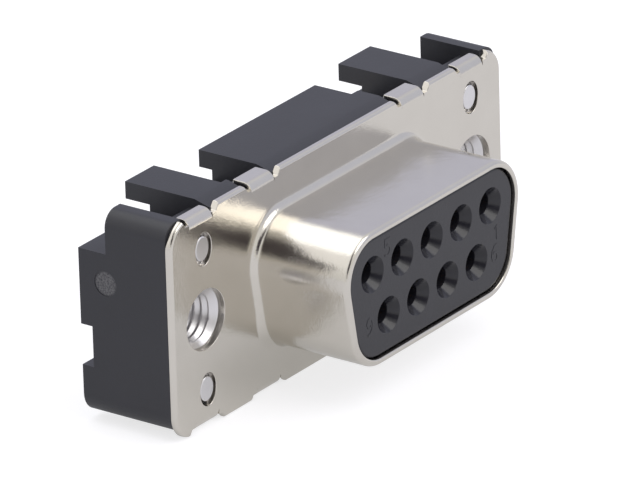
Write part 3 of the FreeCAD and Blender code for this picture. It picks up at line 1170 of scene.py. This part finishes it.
@dataclass
class Nose:
    """Moulded insulator that fills the shroud, with nine countersunk entries."""

    shared: Interface
    finish: bpy.types.Material
    edge_round: float = 0.22
    edge_steps: int = 4
    front_gap: float = 0.03
    numeral_tall: float = 1.05
    numeral_stroke: float = 0.12
    numeral_raised: float = 0.02
    collar_over: float = 0.95
    collar_front: float = 0.52
    mouth_wide: float = 2.06
    mouth_deep: float = 0.55
    mouth_round: float = 0.02
    entry_wide: float = 1.2
    entry_wall: float = 1.1
    bore_wide: float = 1.7
    ear_seat_wide: float = 2.34
    ear_seat_deep: float = 0.6
    side_steps: int = 6
    corner_steps: int = 14
    entry_steps: int = 64
    sharp_degrees: float = 35.0

    def build(self) -> bpy.types.Object:
        """Build the insulator and put it in its place.

        Returns:
            The object.
        """
        low, high = node_corners("front_insulator")
        front, back = low.y, high.y
        skin = Skin()
        inset = self.shared.sheet + self.front_gap
        levels = [
            (inset + self.edge_round * (1 - sine), front + self.edge_round * (1 - cosine))
            for sine, cosine in quarter_turn(self.edge_steps)
        ]
        collar = self.shared.sheet + self.shared.nose_gap - self.collar_over
        levels += [(inset, self.collar_front), (collar, self.collar_front), (collar, back)]
        rings = skin.drawn(d_outline(self.shared, self.side_steps, self.corner_steps), levels)
        entry_levels = self._entry_levels(front, back)
        places = self.shared.contact_places()
        entries = [skin.turned(place, entry_levels, self.entry_steps) for place in places]
        for side in (0, -1):
            skin.fill([rings[side], *(entry[side] for entry in entries)])
        for numeral in NUMERALS:
            self._raise_numeral(skin, numeral, front)
        piece = skin.build("socket_nose", self.sharp_degrees)
        settle(piece, "front_insulator", self.finish)
        return piece

    def _raise_numeral(self, skin: Skin, numeral: Numeral, front: float) -> None:
        """Raise one contact number on the face.

        Args:
            skin: the mesh so far.
            numeral: the number.
            front: depth of the face.
        """
        tall, last = self.numeral_tall, len(numeral.stroke) - 1
        path = [Vector((x * tall + numeral.across, z * tall + numeral.up)) for x, z in numeral.stroke]
        near, far = [], []
        for k, point in enumerate(path):
            along = (path[min(k + 1, last)] - path[max(k - 1, 0)]).normalized()
            side = Vector((-along.y, along.x)) * self.numeral_stroke / 2
            near.append(point + side)
            far.append(point - side)
        edge = [(point.x, point.y) for point in near + far[::-1]]
        rings = [skin.ring(edge, front - self.numeral_raised), skin.ring(edge, front + self.numeral_raised)]
        skin.stack(rings)
        for ring in rings:
            skin.fill([ring])

    def _entry_levels(self, front: float, back: float) -> list[Flat]:
        """Radius and depth of each ring of one entry, from the mating face to the back.

        Args:
            front: depth of the mating face.
            back: depth of the insulator's back.

        Returns:
            The radius and depth of each ring.
        """
        mouth, entry, bore = self.mouth_wide / 2, self.entry_wide / 2, self.bore_wide / 2
        ease, seat_wide = self.mouth_round, self.ear_seat_wide / 2
        step = front + self.entry_wall
        seat = back - self.ear_seat_deep
        return [
            *((mouth + ease * wider, front + ease * deeper) for wider, deeper in MOUTH_EDGE),
            (entry + ease, front + self.mouth_deep - ease),
            (entry, front + self.mouth_deep + ease),
            (entry, step),
            (bore, step),
            (bore, seat),
            (seat_wide, seat),
            (seat_wide, back),
        ]


@dataclass
class EasedMoulding:
    """The moulded body behind the flange, with every edge eased as a mould leaves it."""

    finish: bpy.types.Material
    edge: float = 0.07
    segments: int = 3
    turn_degrees: float = 26.0
    level_degrees: float = 0.5
    sharp_degrees: float = 40.0

    def build(self) -> bpy.types.Object:
        """Build the body from its node's shape and put it in its place.

        Returns:
            The object.
        """
        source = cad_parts["rear_insulator"]
        work = bmesh.new()
        work.from_mesh(source.data)
        bmesh.ops.remove_doubles(work, verts=work.verts, dist=MERGED)
        level = math.radians(self.level_degrees)
        bmesh.ops.dissolve_limit(work, angle_limit=level, verts=work.verts, edges=work.edges, delimit=set())
        mesh = bpy.data.meshes.new("eased_body")
        work.to_mesh(mesh)
        work.free()
        piece = bpy.data.objects.new("eased_body", mesh)
        bpy.context.scene.collection.objects.link(piece)
        bevel = piece.modifiers.new("eased edges", "BEVEL")
        bevel.width = self.edge * MM
        bevel.segments = self.segments
        bevel.limit_method = "ANGLE"
        bevel.angle_limit = math.radians(self.turn_degrees)
        bevel.miter_outer = "MITER_ARC"
        bevel.use_clamp_overlap = True
        apply_modifiers(piece)
        smooth_shading(piece, self.sharp_degrees)
        settle(piece, "rear_insulator", self.finish)
        return piece


class Side(Enum):
    """Which of the two screw holes an insert is for."""

    LEFT = "left"
    RIGHT = "right"


@dataclass
class ThreadedInsert:
    """Die-cast plate with two locating pegs and a threaded barrel.

    The thread's form is in shares of one turn: the flank that faces the front,
    the flat on top, and the flank behind. The run-out is where the thread fades
    into the countersink, and the relief is the chamfer at the barrel's end.
    """

    shared: Interface
    finish: bpy.types.Material
    side: Side
    plate_deep: float = 0.9
    plate_wide: float = 4.3
    plate_tall: float = 9.7
    barrel_wide: float = 4.5
    mouth_wide: float = 3.36
    major: float = 3.0
    minor: float = 2.6
    thread_pitch: float = 0.5
    facing_flank: float = 0.46
    crest: float = 0.1
    hidden_flank: float = 0.3
    runout_start: float = 0.04
    runout_long: float = 0.1
    relief: float = 0.03
    peg_wide: float = 1.2
    peg_taller: float = 1.2
    peg_recess: float = 0.08
    peg_round: float = 0.08
    edge: float = 0.08
    edge_middle: float = 0.3
    steps: int = 72
    peg_steps: int = 4
    corner_steps: int = 8
    rows_per_turn: int = 16
    sharp_degrees: float = 50.0
    across: float = field(init=False)

    def __post_init__(self) -> None:
        """Take the axis from the node that the insert stands for."""
        low, high = node_corners(self._node())
        self.across = (low.x + high.x) / 2

    def _node(self) -> str:
        """Name of the node that the insert stands for."""
        return f"threaded_insert_{self.side.value}"

    def build(self) -> bpy.types.Object:
        """Build the insert and put it in its place.

        Returns:
            The object.
        """
        front, end = self.shared.sheet, node_corners(self._node())[1].y
        back = front + self.plate_deep
        skin = Skin()
        plate_levels = [
            (self.edge, front),
            (self.edge * self.edge_middle, front + self.edge * self.edge_middle),
            (0.0, front + self.edge),
            (0.0, back - self.edge),
            (self.edge, back),
        ]
        sides = skin.drawn(self._plate_outline(), plate_levels)
        bore = self._bore(skin, front, end)
        pegs = [self._peg(skin, sign * self.shared.peg_rise, front) for sign in (1, -1)]
        skin.fill([sides[0], bore[0], *pegs])
        wide = self.barrel_wide / 2
        barrel_levels = ((wide, back), (wide, end - self.edge), (wide - self.edge, end))
        barrel = [
            skin.ring(circle_points(self.across, 0.0, radius, self.steps), depth)
            for radius, depth in barrel_levels
        ]
        skin.fill([sides[-1], barrel[0]])
        skin.stack(barrel)
        skin.bridge(barrel[-1], bore[-1])
        piece = skin.build(f"jackscrew_insert_{self.side.value}", self.sharp_degrees)
        settle(piece, self._node(), self.finish)
        return piece

    def _plate_outline(self) -> Outline:
        """Outline of the plate with rounded corners.

        Returns:
            The outline at no inset.
        """
        wide, tall, radius = self.plate_wide / 2, self.plate_tall / 2, self.plate_wide / 4
        signs = ((1, -1), (1, 1), (-1, 1), (-1, -1))
        corners = [Corner(self.across + x * wide, z * tall, radius) for x, z in signs]
        return Outline(corners, self.corner_steps)

    def _peg(self, skin: Skin, up: float, front: float) -> Ring:
        """A locating peg with a rounded end.

        Args:
            skin: the mesh so far.
            up: z of its axis.
            front: depth of the plate's front face.

        Returns:
            The ring where it stands on the plate.
        """
        radius, tip, rounding = self.peg_wide / 2, self.peg_recess, self.peg_round
        levels = [(radius, front)]
        for sine, cosine in quarter_turn(self.peg_steps):
            levels.append((radius - rounding * (1 - cosine), tip + rounding * (1 - sine)))
        rings = skin.turned((self.across, up), levels, self.steps, self.peg_taller)
        skin.fill([rings[-1]])
        return rings[0]

    def _bore(self, skin: Skin, front: float, end: float) -> list[Ring]:
        """The countersunk and threaded bore, a helix of grooves.

        Args:
            skin: the mesh so far.
            front: depth of the plate's front face.
            end: depth of the barrel's end.

        Returns:
            Its rings from front to back.
        """
        count = int((end - front) / (self.thread_pitch / self.rows_per_turn))
        angles = [2 * math.pi * k / self.steps for k in range(self.steps)]
        rings = []
        for row in range(count + 1):
            depth = front + (end - front) * row / count
            points = []
            for angle in angles:
                radius = self._bore_radius(depth, angle, front, end)
                points.append((self.across + radius * math.cos(angle), radius * math.sin(angle)))
            rings.append(skin.ring(points, depth))
        skin.stack(rings)
        return rings

    def _bore_radius(self, depth: float, angle: float, front: float, end: float) -> float:
        """Radius of the bore at one place: the thread, or the countersink or relief where one is wider.

        Args:
            depth: y of the place.
            angle: its angle round the axis.
            front: depth of the plate's front face.
            end: depth of the barrel's end.

        Returns:
            The radius.
        """
        turn = (depth / self.thread_pitch - angle / (2 * math.pi)) % 1.0
        behind = turn - self.facing_flank - self.crest
        if turn < self.facing_flank:
            share = 1 - turn / self.facing_flank
        else:
            share = min(max(behind / self.hidden_flank, 0.0), 1.0)
        countersink = self.mouth_wide / 2 - (depth - front)
        past = (self.major / 2 + self.runout_start - countersink) / self.runout_long
        cut = min(max(past, 0.0), 1.0)
        thread = (self.minor + (self.major - self.minor) * share * cut) / 2
        return max(thread, countersink, self.major / 2 + self.relief - (end - depth))


@dataclass
class Contacts:
    """The nine gold-flashed sockets, which keep their own shape."""

    finish: bpy.types.Material
    count: int = 9

    def dress(self) -> None:
        """Give every contact its finish."""
        for number in range(1, self.count + 1):
            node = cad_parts[f"socket_contact_{number}"]
            node.data.materials.clear()
            node.data.materials.append(self.finish)
            LOG.info("%s: gold flash", node.name)


# Stage


WHITE: Colour = (1.0, 1.0, 1.0)


@dataclass(frozen=True)
class Patch:
    """A soft round patch of the studio that is brighter or darker, in one direction."""

    towards: Direction
    colour: Colour
    inner_degrees: float
    outer_degrees: float

    def share(self, tree: Tree, direction: Socket) -> Socket:
        """How much of the patch shows in each direction.

        Args:
            tree: nodes of the world.
            direction: where each ray goes.

        Returns:
            1 inside the inner angle and 0 outside the outer one.
        """
        feeds = {0: direction, 1: Vector(self.towards).normalized()}
        near = add_node(tree, "VectorMath", feeds, operation="DOT_PRODUCT").outputs["Value"]
        outer, inner = (math.cos(math.radians(angle)) for angle in (self.outer_degrees, self.inner_degrees))
        return rescaled(tree, near, start=(outer, inner), blend=Blend.SOFT)


STUDIO_PATCHES = (
    Patch(towards=(0.74, -0.54, 0.39), colour=(0.67, 0.69, 0.80), inner_degrees=12, outer_degrees=45),
    Patch(towards=(0.74, 0.54, 0.39), colour=(0.64, 0.65, 0.78), inner_degrees=14, outer_degrees=40),
    Patch(towards=(-0.50, 0.54, 0.68), colour=(1.10, 1.08, 1.07), inner_degrees=22, outer_degrees=42),
    Patch(towards=(0.00, 0.54, 0.84), colour=(1.80, 1.80, 1.80), inner_degrees=20, outer_degrees=28),
    Patch(towards=(-0.52, -0.28, 0.80), colour=(0.12, 0.11, 0.11), inner_degrees=6, outer_degrees=17),
    Patch(towards=(-0.70, -0.54, 0.46), colour=(0.04, 0.03, 0.04), inner_degrees=13, outer_degrees=24),
)


@dataclass(frozen=True)
class Panorama:
    """The pale studio that the metal reflects, brighter and darker by direction."""

    level: Colour = (0.84, 0.83, 0.82)
    diffuse_strength: float = 0.86
    patches: tuple[Patch, ...] = STUDIO_PATCHES

    def build(self) -> None:
        """Set up the world, which the camera itself sees as plain white."""
        world = bpy.data.worlds.new("white_studio")
        bpy.context.scene.world = world
        world.use_nodes = True
        tree = world.node_tree
        tree.nodes.clear()
        direction = add_node(tree, "TexCoord").outputs["Generated"]
        colour: Feed = self.level
        for patch in self.patches:
            colour = mixed(tree, patch.share(tree, direction), colour, patch.colour)
        rays = add_node(tree, "LightPath").outputs
        mirrored = calculate(tree, "MAXIMUM", rays["Is Glossy Ray"], rays["Is Transmission Ray"])
        strength = rescaled(tree, mirrored, end=(self.diffuse_strength, 1.0))
        studio = add_node(tree, "Background", {"Color": colour, "Strength": strength}).outputs["Background"]
        white = add_node(tree, "Background", {"Color": WHITE}).outputs["Background"]
        chosen = add_node(tree, "MixShader", {"Fac": rays["Is Camera Ray"], 1: studio, 2: white})
        add_node(tree, "OutputWorld", {"Surface": chosen.outputs["Shader"]})


@dataclass(frozen=True)
class Studio:
    """Floor, lamp and camera. Lengths are in millimetres, the lamp's power in watts."""

    floor_half: float = 900.0
    floor_colour: Colour = (0.44, 0.44, 0.475)
    floor_glow: float = 0.72
    floor_sheen: float = 0.41
    lamp_towards: Direction = (0.15, -0.54, 0.83)
    lamp_distance: float = 420.0
    lamp_wide: float = 340.0
    lamp_power: float = 0.5
    lamp_colour: Colour = (1.0, 0.98, 0.95)
    azimuth: float = -53.96
    elevation: float = 23.09
    roll: float = -1.65
    distance: float = 502.2
    aim_right: float = -1.17
    aim_up: float = 0.06
    focal_pixels: float = 9263.7
    image_wide: float = 640.0
    sensor: float = 36.0
    nearest: float = 10.0
    farthest: float = 10000.0

    def build(self) -> None:
        """Set up everything round the object."""
        self._floor()
        self._lamp()
        self._camera()

    def _floor(self) -> None:
        """A pale floor under the lowest edge, which shows white and keeps the shadow."""
        half, level = self.floor_half, CAD_BOX[0][2] / MM
        corners = ((-half, -half), (half, -half), (half, half), (-half, half))
        mesh = bpy.data.meshes.new("floor")
        mesh.from_pydata([Vector((x, y, level)) * MM for x, y in corners], [], [(0, 1, 2, 3)])
        floor = bpy.data.objects.new("floor", mesh)
        bpy.context.scene.collection.objects.link(floor)
        mesh.materials.append(self._floor_finish())

    def _floor_finish(self) -> bpy.types.Material:
        """Matt paint that glows only for the camera and for mirrored rays.

        Returns:
            The material.
        """
        material = bpy.data.materials.new("pale_floor")
        material.use_nodes = True
        tree = material.node_tree
        rays = add_node(tree, "LightPath").outputs
        sheen = calculate(tree, "MULTIPLY", rays["Is Glossy Ray"], self.floor_sheen)
        glow = calculate(tree, "MULTIPLY_ADD", rays["Is Camera Ray"], self.floor_glow, sheen)
        shading = {
            "Base Color": self.floor_colour,
            "Roughness": 1.0,
            "Specular IOR Level": 0.0,
            "Emission Color": WHITE,
            "Emission Strength": glow,
        }
        feed(tree, tree.nodes["Principled BSDF"], shading)
        return material

    def _lamp(self) -> None:
        """One large soft lamp in front of and above the mating face."""
        light = bpy.data.lights.new("front_softbox", "AREA")
        light.shape = "DISK"
        light.size = self.lamp_wide * MM
        light.energy = self.lamp_power
        light.color = self.lamp_colour
        lamp = bpy.data.objects.new("front_softbox", light)
        towards = Vector(self.lamp_towards).normalized()
        lamp.location = towards * self.lamp_distance * MM
        lamp.rotation_euler = towards.to_track_quat("Z", "Y").to_euler()
        bpy.context.scene.collection.objects.link(lamp)

    def _camera(self) -> None:
        """The camera at the photograph's viewing angle."""
        azimuth, elevation = math.radians(self.azimuth), math.radians(self.elevation)
        across, ahead = math.sin(azimuth) * math.cos(elevation), -math.cos(azimuth) * math.cos(elevation)
        back = Vector((across, ahead, math.sin(elevation)))
        level = Vector((0, 0, 1)).cross(back).normalized()
        rise = back.cross(level)
        turn = math.radians(self.roll)
        right = level * math.cos(turn) + rise * math.sin(turn)
        up = rise * math.cos(turn) - level * math.sin(turn)
        data = bpy.data.cameras.new("camera")
        data.sensor_width = self.sensor
        data.lens = self.focal_pixels * self.sensor / self.image_wide
        data.clip_start = self.nearest * MM
        data.clip_end = self.farthest * MM
        camera = bpy.data.objects.new("camera", data)
        place = back * self.distance + right * self.aim_right + up * self.aim_up
        basis = Matrix((right, up, back)).transposed().to_4x4()
        camera.matrix_world = Matrix.Translation(place * MM) @ basis
        bpy.context.scene.collection.objects.link(camera)
        bpy.context.scene.camera = camera


def main() -> None:
    """Build the stage and every piece, in order."""
    logging.basicConfig(level=logging.INFO, format="%(name)s: %(message)s")
    bpy.context.scene.view_settings.view_transform = "Standard"
    Panorama().build()
    Studio().build()
    shared, effects = Interface(), Effects()
    sheet = NICKEL_SHEET.material(effects)
    casting = NICKEL_CASTING.material(effects)
    moulding = BLACK_MOULDING.material(effects)
    plate = GOLD_FLASH.material(effects)
    nose_moulding = SATIN_MOULDING.material(effects)
    FoldedShell(shared, sheet).build()
    Nose(shared, nose_moulding).build()
    EasedMoulding(moulding).build()
    for side in Side:
        ThreadedInsert(shared, casting, side).build()
    Contacts(plate).dress()


if __name__ == "__main__":
    main()
